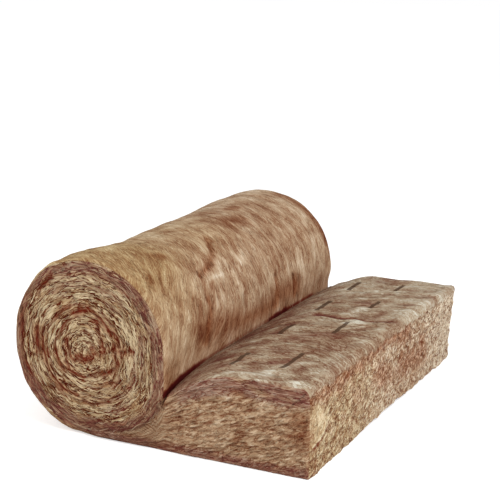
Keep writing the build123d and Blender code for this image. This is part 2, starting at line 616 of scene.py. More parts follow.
def side_pattern(b, grid):
    """Relief and masks of the roll's side: soft lumps, combed streaks and creases that run to the nip.

    The streaks slant towards the near end as they run down, most of all close to it. The back is calmer.
    """
    y, along = grid.y, grid.along
    middle = (LOW[0] + b.roll_radius - b.turn_pitch / 4, b.roll_radius + b.turn_pitch / 4)
    degree = math.radians(b.roll_radius - b.turn_pitch / 2)
    angle = np.degrees(np.arctan2(grid.z - middle[1], grid.x - middle[0]))
    across = y + 7 * noise(37, along / 45, y / 45)
    marks = (
        [(width, *((a, u * degree) for a, u in knots)) for width, *knots in lines]
        for lines in (SIDE_CREASES, SIDE_BROWN, SIDE_PALE)
    )
    creases, brown, pale = (strokes(across, angle * degree, lines) for lines in marks)
    slant = 0.06 + 0.5 * smooth(y, 20, -380)
    calm = 1 - 0.5 * smooth(np.abs(angle), 105, 145)
    slack = calm * (26 * noise(30, along / 190, y / 150) + 8 * noise(35, along / 60, y / 50))
    spread = y + slant * (along - along[0, CROWN]) + slack
    streak = noise(31, along / 210, spread / 34)
    wisp = noise(34, along / 130, spread / 14)
    blotch = calm * (noise(36, along / 62, y / 48) + 0.6 * noise(38, along / 30, y / 24))
    patch = calm * noise(33, along / 120, y / 90)
    low = smooth(angle, 12, -14)
    bare = bell(y, -380, 100) * window(angle, -12, 12, 42, 62)
    puff = smooth(y, -290, -350) * window(angle, -30, 10, 50, 80)
    shrink = bell(y, -250, 120) * window(angle, 35, 95, 130, 200)
    bulge = smooth(y, 250, 560) * window(angle, -35, 0, 50, 85)
    foot = smooth(y, 0, -500) * window(angle, -165, -140, -115, -95)
    crown = window(angle, 65, 100, 130, 165) * (8 * bell(y, -480, 90) - 6 * bell(y, 40, 300))
    ripple = noise(39, along / 70, y / 140) * smooth(y, -430, -580)
    relief = 5 * noise(32, along / 170, y / 230) + 2.4 * streak + 1.5 * wisp + blotch - 7 * creases
    relief += 4 * puff - 8 * shrink + 4 * ripple + 10 * bulge + 9 * foot + crown
    lift = 0.7 * wisp + 0.4 * streak + 0.75 * blotch + 0.5 * patch + 1.4 * pale + 0.2 * bare + 0.7 * low
    # Painted highlight along the roll's crown, stronger towards the near end
    lift += 0.3 * smooth(angle, 68, 98) * (1 + 1.5 * smooth(y, 0, -300)) - 0.85 * brown - 0.5 * creases
    stain = 0.85 * creases + 0.55 * brown + 0.4 * low + 0.1 * smooth(-blotch, 0.3, 0.9) * (1 - bare)
    turned = np.arctan(-slant)
    down = np.cos(turned)
    return {
        "relief": relief,
        "stain": np.clip(stain, 0, 1),
        "lift": lift,
        "comb": vectors(grid.facing[..., 2] * down, np.sin(turned), -grid.facing[..., 0] * down),
        "grain": vectors(along, 0, spread),
    }


# Marks of the flat end's top, as half width and places along and across the blanket. The fold's dark is
# painted shade.
TOP_FOLD = (
    (9.5, (222, 60), (250, 70), (300, 65), (350, 75), (400, 70), (430, 85), (462, 95)),
    (12, (225, 58), (248, 66)),
)
TOP_BROWN = (
    (34, (120, 200), (170, 270)),
    (34, (270, -180), (340, -110)),
    (30, (300, 260), (345, 230)),
    (26, (262, 520), (280, 580)),
    (26, (150, -20), (200, 60)),
    (24, (320, -430), (345, -400)),
)
TOP_PALE = (
    (22, (280, -560), (340, -520)),
    (13, (212, -490), (238, -440)),
    (20, (355, 20), (400, 60)),
    (20, (300, 110), (335, 190)),
    (16, (375, -410), (430, -390)),
    (12, (345, -590), (450, -565)),
    (12, (370, -40), (410, 0)),
)

# Course of a wrinkle: its slope, how far its fan at the nip reaches and turns, and its bend in the near half
WRINKLE_SLOPE = 0.15
FAN_REACH = 60
FAN_TURN = 90
BEND = 0.003
BEND_START = 300

# How far the fold's pale lip, a painted highlight, lies from it
LIP_SHIFT = 28


def top_pattern(x, y):
    """Relief and masks of the flat end's top: wrinkles that fan out from the nip, and one deep fold.

    A wrinkle keeps y - slope x + turn exp((reach - x) / reach), so it leaves along the nip and turns along
    the blanket. In the near half bend (x - start)^2 is added, so that it bends back towards the near end.
    """
    fan = np.exp((FAN_REACH - x) / FAN_REACH)
    bend = smooth(y, 100, -300) * np.clip(x - BEND_START, 0, 180)
    skew = y - WRINKLE_SLOPE * x + FAN_TURN * fan + BEND * bend**2 + 24 * noise(40, x / 130, y / 90)
    wave = noise(41, x / 150, skew / 38)
    ridge = 1 - 2 * np.abs(noise(42, x / 170, skew / 50))
    crinkle = noise(43, x / 70, skew / 15)
    blotch = noise(46, x / 48, y / 75) + 0.6 * noise(47, x / 24, y / 40)
    loose_x, loose_y = loosened(44, x, y, 9, 40)
    fold, brown, pale = (strokes(loose_x, loose_y, lines) for lines in (TOP_FOLD, TOP_BROWN, TOP_PALE))
    lip = strokes(loose_x, loose_y + LIP_SHIFT, TOP_FOLD)
    # Painted shade on the wrinkles: their troughs go darker and purple-brown and their crests lighter; the
    # fold is painted dark with a painted highlight on its lip. The top also goes darker and purple-brown
    # towards the nip.
    hollow = np.clip(0.4 * smooth(-wave, 0, 0.6) + 0.4 * smooth(-blotch, 0, 0.7) + 0.7 * brown, 0, 1)
    lift = 0.5 * wave + 0.3 * ridge + 0.7 * crinkle + blotch + 1.5 * pale + 0.6 * lip - 3.3 * fold
    lift += 0.5 * smooth(y, 200, 420) + 0.4 * smooth(x, 420, 470) - 0.6 * brown
    lift -= 0.4 * smooth(x, 200, 100) + 0.4 * bell(y, -120, 170)
    return {
        "relief": 3 * wave + 2.5 * ridge + 1.2 * crinkle - 6 * fold + 3 * lip + 2 * pale,
        "band": np.clip(0.55 * hollow * (1 - 0.6 * pale) + 0.65 * fold + 0.3 * smooth(x, 190, 90), 0, 1),
        "lift": lift,
        "comb": vectors(1, WRINKLE_SLOPE + FAN_TURN / FAN_REACH * fan - 2 * BEND * bend, 0),
        "grain": vectors(1.3 * x, 0, 0.75 * skew),
    }


# Marks of the cut, as half width and places across the blanket and up. The torn flap ends in a crest with a
# painted highlight, and a painted shade line lies under it.
FLAP_EDGE = ((-600, 85), (-584, 90), (-532, 104), (-490, 124), (-481, 142), (-470, 166))
CUT_CREST = ((6, *FLAP_EDGE[1:]),)
CUT_WARM = (
    (26, (-600, 238), (-400, 228), (-200, 240), (60, 246)),
    (40, (-80, 160), (-20, 130)),
    (42, (120, 120), (290, 100)),
    (30, (110, 215), (180, 215)),
    (30, (310, 140), (340, 90)),
)
CUT_PALE = ((26, (-590, 165), (-510, 172)), (16, (-450, 182), (-410, 186)), (24, (-150, 14), (110, 12)))


def cut_pattern(y, z):
    """Relief and masks of the cut: grains and knife chatter, with a torn flap near the front corner."""
    lump = noise(51, y / 60, z / 48)
    grit = noise(52, y / 15, z / 17)
    blotch = noise(57, y / 30, z / 36)
    speckle = noise(58, y / 14, z / 24)
    loose_y, loose_z = loosened(54, y, z, 8, 45)
    crest, warm, pale = (strokes(loose_y, loose_z, lines) for lines in (CUT_CREST, CUT_WARM, CUT_PALE))
    shade = strokes(loose_y - 7, loose_z + 9, CUT_CREST)
    over_edge = z - through(y, FLAP_EDGE)
    torn = y + 30 * noise(56, y / 30, z / 30)
    flap = smooth(over_edge, -3, 3) * smooth(torn, -450, -490) * smooth(z + 0.5 * torn, -50, -100)
    far = smooth(y + 80 * lump, 260, 560)
    # The crest is a painted highlight
    lift = 0.9 * grit + 0.7 * blotch * (1 - flap) + 3.2 * crest + 0.55 * flap + (1.35 + 1.6 * speckle) * far
    lift += 0.7 * pale - 0.4 * warm - 0.9 * smooth(y, -535, -600)
    # Pits: painted shade in the grains' low spots, and the painted shade line under the crest
    pits = 0.3 * smooth(-grit - 0.3 * lump, 0.15, 0.8) + 0.75 * shade
    return {
        "relief": 4 * lump + 4.5 * grit + 5 * flap + 3 * crest,
        "crevice": np.clip(pits * (1 - flap), 0, 1),
        "lift": lift,
        "stain": np.clip(0.7 * warm * (1 - flap) + 0.3 * smooth(lump, 0.1, 0.6), 0, 1) * (1 - far),
        "flap": flap,
        "far": far,
        "comb": vectors(0 * y, 0.35, 1),
    }


# The skin


def skin_rows():
    """For each row: its share of the way across, from -1 to 1, its normal's lean and its share inwards."""
    lean = np.radians(RIM_LEANS)
    rim = np.ones(len(lean))
    across = np.linspace(-1, 1, ACROSS_ROWS)
    near, far = np.ones(NEAR_END_ROWS), np.ones(FAR_END_ROWS)
    inner, outer = np.linspace(1, 0, NEAR_END_ROWS), np.linspace(0, 1, FAR_END_ROWS)
    share = np.concatenate((-near, -rim, across, rim, far))
    leans = np.concatenate((0 * near, lean, np.full(ACROSS_ROWS, math.pi / 2), lean[::-1], 0 * far))
    return share, leans, np.concatenate((inner, 0 * rim, 0 * across, 0 * rim, outer))


def skin_grid(b):
    """The end outline carried across the width, with soft rims and closed ends.

    A point is outline - normal * rim * (1 - sin(lean)), moved towards the middle line on the ends. The
    outline goes over from the near one to the far one by 1 - exp(-way across / rise).
    """
    share, lean, inwards = (values[:, None] for values in skin_rows())
    near = end_outline(b, b.nip_near, b.shoulder_near)
    far = end_outline(b, b.nip_far, b.shoulder_far)
    rim = b.rim_radius * soften(stretch_mask(0.5, 0.4, 0.6, 1, 1, 1, 0.7, 0.5, 0.5, 0.5))
    out, rise = np.sign(share) * np.cos(lean), np.sin(lean)
    y = share * (HIGH[1] - rim) + out * rim
    blend = 1 - np.exp((LOW[1] - y) / b.nip_rise)
    normal = outward(near) + (outward(far) - outward(near)) * blend[..., None]
    flat = near + (far - near) * blend[..., None] - normal * (rim * (1 - rise))[..., None]
    to_middle = middle_line(b, len(near)) - flat
    inset = np.linalg.norm(to_middle, axis=2) * inwards
    x, z = np.moveaxis(flat + to_middle * inwards[..., None], -1, 0)
    facing = vectors(normal[..., 0] * rise, out, normal[..., 1] * rise)
    along = np.cumsum(np.linalg.norm(near - np.roll(near, 1, axis=0), axis=1)) + 0 * x
    return Grid(x, y, z, facing, rise, along, inset, share, blend)


def grid_normals(points):
    """Outward unit normals of a grid whose columns close up: cross product of its column and row steps."""
    around = np.roll(points, -1, axis=1) - np.roll(points, 1, axis=1)
    return unit(np.cross(np.gradient(points, axis=0), around))


def shape_corners(b, grid, points, roll):
    """Leans the far corner out and keeps it crisp, lifts the cut's foot and lowers the far shoulder."""
    x, y, z = grid.x, grid.y, grid.z
    lean_out = smooth(z, 60, b.thickness) * smooth(x, 250, 400) * smooth(y, 250, 600)
    crisp = smooth(x, HIGH[0] - 30, HIGH[0] - 7) * smooth(z, b.thickness - 32, b.thickness - 9)
    crisp = 6 * crisp * smooth(y, 250, 560)
    foot = bell(y, 30, 230) * smooth(x, 455, 490) * smooth(z, 26, 0) * grid.rise
    low = smooth(y, 420, 590) * window(x, 30, 50, 70, 180) * smooth(z, 130, 220) * (1 - roll)
    points[..., 0] += 13 * lean_out * smooth(x, 300, 480) + crisp
    points[..., 1] += 10 * lean_out * smooth(x, 200, 450)
    points[..., 2] += 9 * foot + crisp - 7 * low
    points[..., 2] = np.maximum(points[..., 2], 0)


# How far the nip's painted dark shade is seen, as places across the blanket and widths
NIP_WIDTHS = ((-600, 12), (-400, 6), (-330, 1), (70, 0), (110, 7), (220, 8), (260, 3), (430, 3), (500, -6))

# Depths below the loose thickness between which the top's look drapes over the edge of the cut
DRAPE = (28, 20)


@functools.cache
def blanket_surface(b):
    """The whole skin: each face's relief is added along the normal, and its looks are kept as masks.

    The relief of the roll's side and of the top fades out in the cleft and on the floor.
    """
    grid = skin_grid(b)
    x, y, z, rise = grid.x, grid.y, grid.z, grid.rise
    ends = (rise < math.sin(math.pi / 4)) + 0 * x
    near_side, far_side = (grid.share < 0) + 0 * x, (grid.share > 0) + 0 * x
    roll = stretch_mask(0, 0, 0, 1, 1, 1, 0, 0, 0, 0)
    top = stretch_mask(0, 0, 0, 0, 0, 0, 0, 1, 1, 0)
    cut = stretch_mask(1, 0, 0, 0, 0, 0, 0, 0, 0, 1)
    shaped = [(1 - rise) * near_side, (1 - rise) * far_side]
    shaped += [soften(mask) * rise for mask in (roll, top, cut)]
    drape = smooth(z + 10 * noise(62, y / 40, z / 40), *(b.thickness - depth for depth in DRAPE)) * cut
    roll, top, cut = (mask * (1 - ends) for mask in (roll, top + drape, cut - drape))
    shown = [ends * near_side, ends * far_side, roll, top, cut]
    nip_z = b.nip_near + (b.nip_far - b.nip_near) * grid.blend
    from_nip = np.hypot(x - sag_side(b, b.nip_near), z - nip_z)
    open_air = smooth(from_nip, 8, 60) * smooth(z, 0, 12)
    top_face, cut_face = top_pattern(x, y), cut_pattern(y, z)
    cut_face["grain"] = top_face["grain"]
    patterns = (
        end_pattern(b, x, z, grid.inset, 11, NEAR_CREVICES, NEAR_TUFTS),
        end_pattern(b, x, z, grid.inset, 71),
        side_pattern(b, grid),
        top_face,
        cut_face,
    )
    faces = list(zip(shown, patterns))
    sheltered = [1, 1, open_air, open_air, 1]
    reliefs = [(mask * air, fields) for mask, air, fields in zip(shaped, sheltered, patterns)]
    points = vectors(x, y, z) + grid.facing * mixed(reliefs, "relief", 0 * x)[..., None]
    shape_corners(b, grid, points, roll)

    # Painted shade by the nip: the roll's side and the top beside it are reddened and darkened through the
    # stain mask
    nip = 0.22 * np.exp(-from_nip / 40) * roll + 0.25 * np.exp(-from_nip / 24) * top
    # The nip's dark crease: painted shade in dark red-brown, over the cleft's own shade
    open_nip = through(y, NIP_WIDTHS) * (1 + 0.5 * noise(61, y / 34) + 0.4 * noise(63, y / 13))
    crease = smooth(from_nip, open_nip + 8, open_nip) * (1 - ends)
    flank = mixed(faces, "flank", 0 * x)
    band = np.clip(mixed(faces, "band", 0 * x), 0, 1)

    # Each face's own lightness, contrast and golden tint, with painted shade on the roll's side towards the
    # near end
    level = 0.622 * ends - 0.09 * flank + 0.52 * top + 0.69 * cut
    level += (0.57 - 0.04 * smooth(y, -200, -450)) * roll
    contrast = 0.78 * ends - (0.38 - 0.35 * band) * flank + 0.36 * roll + 0.42 * top
    contrast += (0.95 + 0.6 * cut_face["far"]) * cut * (1 - 0.5 * cut_face["flap"] * cut)
    golden = 0.1 + 0.75 * smooth(y, -200, -500) * (0.4 + 0.6 * smooth(z, 330, 500))
    golden += 0.4 * smooth(z, 450, 530) * smooth(y, 200, -100)
    gold = 0.85 * ends - 0.6 * flank + golden * roll
    gold += (0.2 + 0.55 * smooth(y, 60, -350)) * cut * (1 - cut_face["stain"])
    masks = {
        "crevice": np.clip(mixed(faces, "crevice", crease), 0, 1),
        # Bottom of the nip: painted deep shade
        "deep": smooth(from_nip, open_nip + 3, open_nip - 3) * (1 - ends),
        "grit": mixed(faces, "grit", cut + 0.2 * roll + 0.4 * top),
        "band": band,
        "stain": np.clip(mixed(faces, "stain", 0.9 * nip + 0.13 * ends), 0, 1),
        "lift": level + 0.2 * mixed(faces, "lift", 0 * x),
        "contrast": contrast,
        "line": 1.3 * ends - (1.2 - 0.4 * band) * flank + 0.1 * roll + 0.12 * top + 0.25 * cut,
        "gold": np.clip(gold, 0, 1),
        "ends": ends,
        "flank": flank,
        "roll": roll,
        "top": top,
        "cut": cut,
    }
    straight = vectors(grid.along, 0, y) * (1 - ends - roll - top - cut)[..., None]
    grain, comb = mixed(faces, "grain", straight), mixed(faces, "comb", np.zeros(points.shape))
    return Surface(points, grid_normals(points), masks, grain, comb)


def new_piece(name, points, corners, sizes, layers, material):
    """A mesh object from points in millimetres, face corners, the corner count of each face and layers."""
    mesh = bpy.data.meshes.new(name)
    mesh.vertices.add(len(points))
    mesh.vertices.foreach_set("co", (points * MM).astype(np.float32).ravel())
    mesh.loops.add(len(corners))
    mesh.loops.foreach_set("vertex_index", corners.astype(np.int32))
    mesh.polygons.add(len(sizes))
    mesh.polygons.foreach_set("loop_start", (np.cumsum(sizes) - sizes).astype(np.int32))
    mesh.polygons.foreach_set("use_smooth", np.ones(len(sizes), bool))
    for layer, values in layers.items():
        kind, field = ("FLOAT_VECTOR", "vector") if values.ndim == 2 else ("FLOAT", "value")
        attribute = mesh.attributes.new(layer, kind, "POINT")
        attribute.data.foreach_set(field, values.astype(np.float32).ravel())
    mesh.update(calc_edges=True)
    mesh.materials.append(material)
    piece = bpy.data.objects.new(name, mesh)
    bpy.context.scene.collection.objects.link(piece)
    return piece


# Points this close are joined, and faces this thin are dropped
SEAM_GAP = 0.02
THIN_FACE = 0.01


def close_seams(piece):
    """Joins the points that meet along the ends' middle lines, and drops faces left without area."""
    shape = bmesh.new()
    shape.from_mesh(piece.data)
    bmesh.ops.remove_doubles(shape, verts=shape.verts, dist=SEAM_GAP * MM)
    bmesh.ops.dissolve_degenerate(shape, edges=shape.edges, dist=THIN_FACE * MM)
    shape.to_mesh(piece.data)
    shape.free()


def wool_skin(b, material):
    """The skin as one closed mesh: a quad between each four neighbours of the grid, columns joined round."""
    surface = blanket_surface(b)
    rows, columns = surface.points.shape[:2]
    index = np.arange(rows * columns).reshape(rows, columns)
    after = np.roll(index, -1, axis=1)
    corners = vectors(index[:-1], after[:-1], after[1:], index[1:]).ravel()
    sizes = np.full((rows - 1) * columns, 4)
    layers = {name: mask.ravel() for name, mask in surface.masks.items()}
    layers["tone"] = np.zeros(rows * columns)
    layers["grain"] = surface.grain.reshape(-1, 3) * MM
    piece = new_piece("wool_skin", surface.points.reshape(-1, 3), corners, sizes, layers, material)
    close_seams(piece)
    return piece


# Fibres on the skin


def read(grid, rows, columns):
    """Grid values at fractional rows and columns, blended between the four nearest points. Columns wrap."""
    row = np.clip(np.floor(rows).astype(int), 0, grid.shape[0] - 2)
    column = np.floor(columns).astype(int)
    down = np.clip(rows - row, 0, 1)
    on = columns - column
    left, right = column % grid.shape[1], (column + 1) % grid.shape[1]
    if grid.ndim == 3:
        down, on = down[..., None], on[..., None]
    upper = grid[row, left] * (1 - on) + grid[row, right] * on
    lower = grid[row + 1, left] * (1 - on) + grid[row + 1, right] * on
    return upper * (1 - down) + lower * down


def scatter(surface, weight, count, generator):
    """Random rows and columns on the skin, spread by cell area times weight."""
    points = surface.points
    across = points[1:] - points[:-1]
    around = np.roll(points, -1, axis=1)[:-1] - points[:-1]
    area = np.linalg.norm(np.cross(across, around), axis=2)
    total = np.cumsum((area * weight[:-1]).ravel())
    cell = np.searchsorted(total, generator.random(count) * total[-1])
    rows = cell // points.shape[1] + generator.random(count)
    return rows, cell % points.shape[1] + generator.random(count)


# A fibre is a spindle: a tip, two three-sided rings and a tip, at these shares of its length from the middle
STATIONS = np.array([-0.5, -0.2, 0.2, 0.5])
STATION_POINTS = np.array([1, 3, 3, 1])
SPINDLE_CORNERS = np.array(
    [0, 2, 1, 0, 3, 2, 0, 1, 3]
    + [1, 2, 5, 4, 2, 3, 6, 5, 3, 1, 4, 6]
    + [7, 4, 5, 7, 5, 6, 7, 6, 4]
)
SPINDLE_SIZES = np.array([3, 3, 3, 4, 4, 4, 3, 3, 3])
SPINDLE_POINTS = STATION_POINTS.sum()

# A fibre with a leg longer than this share of its length leaps over the cleft
LONGEST_LEG = 0.55


def lay_fibres(surface, weight, group, material):
    """A piece of joined spindles that lie on the skin.

    A fibre starts at a scattered place and follows the skin along the comb, off by a normal angle of stray.
    A fibre that would leap over the cleft is left out.
    """
    generator = np.random.default_rng(group.seed)
    rows, columns = scatter(surface, weight, group.count, generator)
    size = generator.uniform(*group.length, group.count)
    thick = generator.uniform(*group.width, group.count)
    tone = generator.normal(0, 1, group.count)
    raised = generator.uniform(*group.lift, group.count)
    turn = generator.normal(0, group.stray, group.count)[:, None]
    around = np.roll(surface.points, -1, axis=1) - np.roll(surface.points, 1, axis=1)
    row_step = read(np.gradient(surface.points, axis=0), rows, columns)
    column_step = read(around / 2, rows, columns)
    normal = unit(read(surface.normals, rows, columns))
    ahead = unit(read(surface.comb, rows, columns))
    course = ahead * np.cos(turn) + np.cross(normal, ahead) * np.sin(turn)

    # Columns and rows for each millimetre of the course: the pair of steps that adds up to it best
    cc, rr, cr = dot(column_step, column_step), dot(row_step, row_step), dot(column_step, row_step)
    dc, dr = dot(course, column_step), dot(course, row_step)
    scale = np.maximum(cc * rr - cr * cr, 1e-3)
    reach = size[:, None] * STATIONS
    column_path = columns[:, None] + ((rr * dc - cr * dr) / scale)[:, None] * reach
    row_path = rows[:, None] + ((cc * dr - cr * dc) / scale)[:, None] * reach
    row_path = np.clip(row_path, 0, len(surface.points) - 1)
    path = read(surface.points, row_path, column_path)
    legs = np.linalg.norm(np.diff(path, axis=1), axis=2).max(axis=1)
    kept = legs < LONGEST_LEG * size
    path, row_path, column_path, normal = path[kept], row_path[kept], column_path[kept], normal[kept]
    rows, columns, thick, tone, raised = rows[kept], columns[kept], thick[kept], tone[kept], raised[kept]

    # One tip dips into the skin, the rings lie just on it and the other tip is raised
    rises = vectors(-0.3 * thick, 0.1 * thick, 0.1 * thick, raised)
    path = path + read(surface.normals, row_path, column_path) * rises[..., None]

    # A ring has one corner above the path, and one on each side of it, a little lower
    half = (thick / 2)[:, None]
    tall = normal * half
    wide = np.cross(unit(path[:, 2] - path[:, 1]), normal) * half
    ring = np.stack((0.8 * tall, -wide - 0.4 * tall, wide - 0.4 * tall), 1)
    points = np.concatenate((path[:, :1], path[:, 1:2] + ring, path[:, 2:3] + ring, path[:, 3:]), axis=1)
    points[..., 2] = np.maximum(points[..., 2], 0)
    corners = (np.arange(len(points))[:, None] * SPINDLE_POINTS + SPINDLE_CORNERS).ravel()
    sizes = np.tile(SPINDLE_SIZES, len(points))
    layers = {
        key: np.repeat(read(mask, row_path, column_path), STATION_POINTS, axis=1).ravel()
        for key, mask in surface.masks.items()
    }
    layers["tone"] = np.repeat(tone, SPINDLE_POINTS)
    layers["grain"] = np.repeat(read(surface.grain, rows, columns) * MM, SPINDLE_POINTS, axis=0)
    return new_piece(group.name, points.reshape(-1, 3), corners, sizes, layers, material)


# Materials


def linear(code):
    """Linear colour with full alpha from an sRGB hex code."""
    shares = [int(code[place : place + 2], 16) / 255 for place in (1, 3, 5)]
    return [s / 12.92 if s <= 0.04045 else ((s + 0.055) / 1.055) ** 2.4 for s in shares] + [1.0]


def empty_tree(owner):
    """The node tree of a material or a world, with nothing in it."""
    owner.use_nodes = True
    owner.node_tree.nodes.clear()
    return owner.node_tree


def add_node(tree, kind, inputs=None, **settings):
    """Adds a node, sets its own settings, and sets or links each named or numbered input.

    A node given as an input stands for its first output.
    """
    node = tree.nodes.new(kind)
    for name, value in settings.items():
        setattr(node, name, value)
    for key, value in (inputs or {}).items():
        socket = node.inputs[key]
        if isinstance(value, bpy.types.Node):
            value = value.outputs[0]
        if isinstance(value, bpy.types.NodeSocket):
            tree.links.new(value, socket)
        else:
            socket.default_value = value
    return node


# Printed dashes on the flat end's top: the row's x and width, then each dash's middle across the blanket
# and its length
DASH_ROWS = (
    (200, 17, ((-440, 118), (-117, 112), (172, 122), (438, 104))),
    (351, 14, ((-396, 158), (-36, 124), (250, 98), (487, 92))),
)

# Turns of the patterns: the grains of the cut rise across the blanket, and those of the flank along it
UPRIGHT = (0.0, 0.0, 0.0)
GRIT_TILT = (math.radians(33), math.radians(-23), 0.0)

# Depths of the strands' and the wrinkles' bumps in millimetres, and the most contrast that a bump follows
STRAND_BUMP = 3.4
WRINKLE_BUMP = 9.0
FIRMEST = 0.9


def glass_wool(colours):
    """Glass mineral wool: fine spun fibres bound with brown resin.

    To the eye it is matt and streaked along the fibres, pale on tufts, with red-brown resin in crevices. The
    shade in crevices, in the nip and on the top's wrinkles and fold is painted in, as are highlights on
    crests.
    """
    material = bpy.data.materials.new("glass_wool")
    tree = empty_tree(material)
    names = ("lift", "contrast", "line", "gold", "band", "stain", "crevice", "deep", "grit", "top", "tone")
    layer = {
        name: add_node(tree, "ShaderNodeAttribute", attribute_name=name).outputs["Fac"] for name in names
    }
    grain = add_node(tree, "ShaderNodeAttribute", attribute_name="grain").outputs["Vector"]
    place = add_node(tree, "ShaderNodeTexCoord").outputs["Object"]

    # Patterns by their size in millimetres: twice along the fibres and once across, or in x, y and z. Real
    # fibres are too fine to show, so hairs and grains are drawn as coarse as they need to show.
    patterns = {}
    for name, source, tilt, size, detail in (
        ("strand", grain, UPRIGHT, (60.0, 60.0, 6.0), 3.0),
        ("hair", grain, UPRIGHT, (34.0, 34.0, 3.4), 2.0),
        ("wrinkle", grain, UPRIGHT, (110.0, 110.0, 20.0), 2.0),
        ("grit", place, GRIT_TILT, (24.0, 20.0, 6.4), 3.0),
        ("grit_fine", place, GRIT_TILT, (10.0, 8.0, 3.2), 2.0),
    ):
        scale = {"Vector": source, "Rotation": tilt, "Scale": [s * MM for s in size]}
        spot = add_node(tree, "ShaderNodeMapping", scale, vector_type="TEXTURE")
        field = {"Vector": spot, "Scale": 1.0, "Detail": detail, "Distortion": 0.4}
        patterns[name] = add_node(tree, "ShaderNodeTexNoise", field).outputs["Fac"]
    coarse, fine = (
        add_node(tree, "ShaderNodeMix", {0: layer["grit"], 2: patterns[a], 3: patterns[b]}, data_type="FLOAT")
        for a, b in (("strand", "grit"), ("hair", "grit_fine"))
    )

    # Lightness: the face's own, plus strands and hairs, less the thin gaps between strands
    off, thin = (
        add_node(tree, "ShaderNodeMath", {0: pattern, 1: 0.5}, operation="SUBTRACT")
        for pattern in (coarse, fine)
    )
    gaps = []
    for centred, reach, depth in ((off, 0.055, 0.5), (thin, 0.035, 0.3)):
        away = add_node(tree, "ShaderNodeMath", {0: centred}, operation="ABSOLUTE")
        span = {"Value": away, "From Max": reach, "To Min": -depth, "To Max": 0.08}
        gaps.append(add_node(tree, "ShaderNodeMapRange", span, interpolation_type="SMOOTHSTEP"))
    swing = gaps[0]
    for pattern, weight in ((off, 1.5), (thin, 1.3), (layer["tone"], 0.13)):
        swing = add_node(tree, "ShaderNodeMath", {0: pattern, 1: weight, 2: swing}, operation="MULTIPLY_ADD")
    lines = add_node(tree, "ShaderNodeMath", {0: gaps[0], 1: gaps[1]}, operation="ADD")
    value = layer["lift"]
    for amount, weight in ((swing, layer["contrast"]), (lines, layer["line"])):
        value = add_node(tree, "ShaderNodeMath", {0: amount, 1: weight, 2: value}, operation="MULTIPLY_ADD")
    # Painted highlights (the fold's lip, the roll's crown, the flap's crest) and painted shade (the top's
    # wrinkles and fold) come in through the lift and reach the ramp's pale and dark ends
    ramp = add_node(tree, "ShaderNodeValToRGB", {"Fac": value})
    stops = ((0.0, colours.dark), (0.30, colours.shade), (0.58, colours.middle), (0.80, colours.light))
    for stop, code in stops:
        element = ramp.color_ramp.elements.new(stop)
        element.color = linear(code)
    ramp.color_ramp.elements.remove(ramp.color_ramp.elements[0])
    ramp.color_ramp.elements[-1].color = linear(colours.pale)

    # Printed dashes: boxes in x and y, on the top only
    split = add_node(tree, "ShaderNodeSeparateXYZ", {0: place})
    ink = 0.0
    for row, width, dashes in DASH_ROWS:
        inputs = {0: split.outputs["X"], 1: row * MM, 2: width / 2 * MM}
        in_row = add_node(tree, "ShaderNodeMath", inputs, operation="COMPARE")
        for middle, long in dashes:
            inputs = {0: split.outputs["Y"], 1: middle * MM, 2: long / 2 * MM}
            in_dash = add_node(tree, "ShaderNodeMath", inputs, operation="COMPARE")
            dash = add_node(tree, "ShaderNodeMath", {0: in_row, 1: in_dash}, operation="MULTIPLY")
            ink = add_node(tree, "ShaderNodeMath", {0: ink, 1: dash}, operation="MAXIMUM")
    printed = add_node(tree, "ShaderNodeMath", {0: ink, 1: layer["top"]}, operation="MULTIPLY")

    colour = ramp.outputs["Color"]
    # Band, stain and crevice also carry painted shade besides the wool's own colours, and deep is the nip's
    # painted shade
    for amount, share, code, blend in (
        (layer["gold"], 1.0, colours.gold, "MULTIPLY"),
        (layer["top"], 1.0, colours.dust, "MULTIPLY"),
        (layer["band"], 0.58, colours.band, "MIX"),
        (layer["stain"], 1.0, colours.stain, "MULTIPLY"),
        (layer["crevice"], 0.95, colours.crevice, "MIX"),
        (layer["deep"], 0.92, colours.deep, "MIX"),
        (printed, 0.85, colours.ink, "MIX"),
    ):
        part = add_node(tree, "ShaderNodeMath", {0: amount, 1: share}, operation="MULTIPLY")
        inputs = {0: part, 6: colour, 7: linear(code)}
        colour = add_node(tree, "ShaderNodeMix", inputs, data_type="RGBA", blend_type=blend).outputs[2]

    relief = add_node(tree, "ShaderNodeMath", {0: coarse, 1: fine}, operation="ADD")
    firm = add_node(tree, "ShaderNodeMath", {0: layer["contrast"], 1: FIRMEST}, operation="MINIMUM")
    height = add_node(tree, "ShaderNodeMath", {0: relief, 1: firm}, operation="MULTIPLY")
    soft = add_node(tree, "ShaderNodeMath", {0: patterns["wrinkle"], 1: layer["top"]}, operation="MULTIPLY")
    inputs = {"Height": soft, "Strength": 1.0, "Distance": WRINKLE_BUMP * MM}
    folded = add_node(tree, "ShaderNodeBump", inputs)
    inputs = {"Height": height, "Strength": 1.0, "Distance": STRAND_BUMP * MM, "Normal": folded}
    bump = add_node(tree, "ShaderNodeBump", inputs)
    inputs = {"Base Color": colour, "Roughness": 0.92, "Specular IOR Level": 0.06, "Normal": bump}
    shader = add_node(tree, "ShaderNodeBsdfPrincipled", inputs)
    add_node(tree, "ShaderNodeOutputMaterial", {"Surface": shader})
    return material


# How strongly the sweep glows for the camera
FLOOR_GLOW = 0.45


